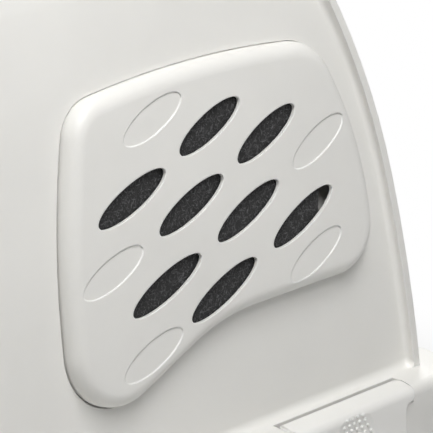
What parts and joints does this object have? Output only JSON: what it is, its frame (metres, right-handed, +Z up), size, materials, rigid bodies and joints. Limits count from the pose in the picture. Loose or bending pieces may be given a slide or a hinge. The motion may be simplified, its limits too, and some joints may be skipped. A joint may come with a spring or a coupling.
{
  "type": "covered litter box",
  "caption": "Covered cat litter box: deep tray with a hood held by side latches, a swing door, a folding handle and a slotted side vent over a carbon filter.",
  "frame": {"origin": "centre of the footprint on the floor, under the middle of the tray", "axes": "+Z up, -Y is the front with the door, -X is the side with the vent, Y is the length"},
  "size_m": [0.4088, 0.5156, 0.4166],
  "materials": {
    "hood_plastic": "satin white moulding",
    "latch_plastic": "satin white moulding",
    "tray_plastic": "satin white moulding",
    "door_clear": "smoked clear polycarbonate",
    "carbon_foam": "carbon-loaded fibrous foam",
    "rubber_foot": "soft grey rubber",
    "pin_steel": "drawn wire"
  },
  "bodies": {
    "tray": {"base_tray": "tray_plastic", "foot_front_left": "rubber_foot", "foot_front_right": "rubber_foot", "foot_rear_left": "rubber_foot", "foot_rear_right": "rubber_foot"},
    "hood": {"hood_shell": "hood_plastic", "front_panel": "hood_plastic", "handle_pin_left": "pin_steel", "handle_pin_right": "pin_steel", "latch_pin_front_left": "pin_steel", "latch_pin_front_right": "pin_steel", "latch_pin_rear_left": "pin_steel", "latch_pin_rear_right": "pin_steel"},
    "door": {"swing_door": "door_clear"},
    "handle": {"carry_handle": "hood_plastic"},
    "vent_cover": {"vent_cover": "hood_plastic"},
    "filter": {"carbon_filter": "carbon_foam"},
    "latch_front_left": {"latch_front_left": "latch_plastic"},
    "latch_front_right": {"latch_front_right": "latch_plastic"},
    "latch_rear_left": {"latch_rear_left": "latch_plastic"},
    "latch_rear_right": {"latch_rear_right": "latch_plastic"}
  },
  "joints": [
    {"name": "hood_lift", "type": "slide", "parent": "tray", "child": "hood", "axis": [0, 0, 1], "range_m": [0, 0.12]},
    {"name": "door_swing", "type": "hinge", "parent": "hood", "child": "door", "pos_m": [0, -0.1825, 0.328], "axis": [1, 0, 0], "range_deg": [-75, 75]},
    {"name": "handle_fold", "type": "hinge", "parent": "hood", "child": "handle", "pos_m": [0, 0.007, 0.4], "axis": [1, 0, 0], "range_deg": [0, 90]},
    {"name": "vent_cover_pull", "type": "slide", "parent": "hood", "child": "vent_cover", "axis": [-0.9917, 0, 0.1289], "range_m": [0, 0.09]},
    {"name": "filter_pull", "type": "slide", "parent": "hood", "child": "filter", "axis": [-0.9917, 0, 0.1289], "range_m": [0, 0.045]},
    {"name": "latch_front_left_open", "type": "hinge", "parent": "hood", "child": "latch_front_left", "pos_m": [-0.1894, -0.176, 0.1503], "axis": [0, 1, 0], "range_deg": [0, 60]},
    {"name": "latch_front_right_open", "type": "hinge", "parent": "hood", "child": "latch_front_right", "pos_m": [0.1894, -0.176, 0.1503], "axis": [0, -1, 0], "range_deg": [0, 60]},
    {"name": "latch_rear_left_open", "type": "hinge", "parent": "hood", "child": "latch_rear_left", "pos_m": [-0.1894, 0.176, 0.1503], "axis": [0, 1, 0], "range_deg": [0, 60]},
    {"name": "latch_rear_right_open", "type": "hinge", "parent": "hood", "child": "latch_rear_right", "pos_m": [0.1894, 0.176, 0.1503], "axis": [0, -1, 0], "range_deg": [0, 60]}
  ],
  "couplings": [
    {"joint": "filter_pull", "follows": "vent_cover_pull", "ratio": 0.5}
  ]
}
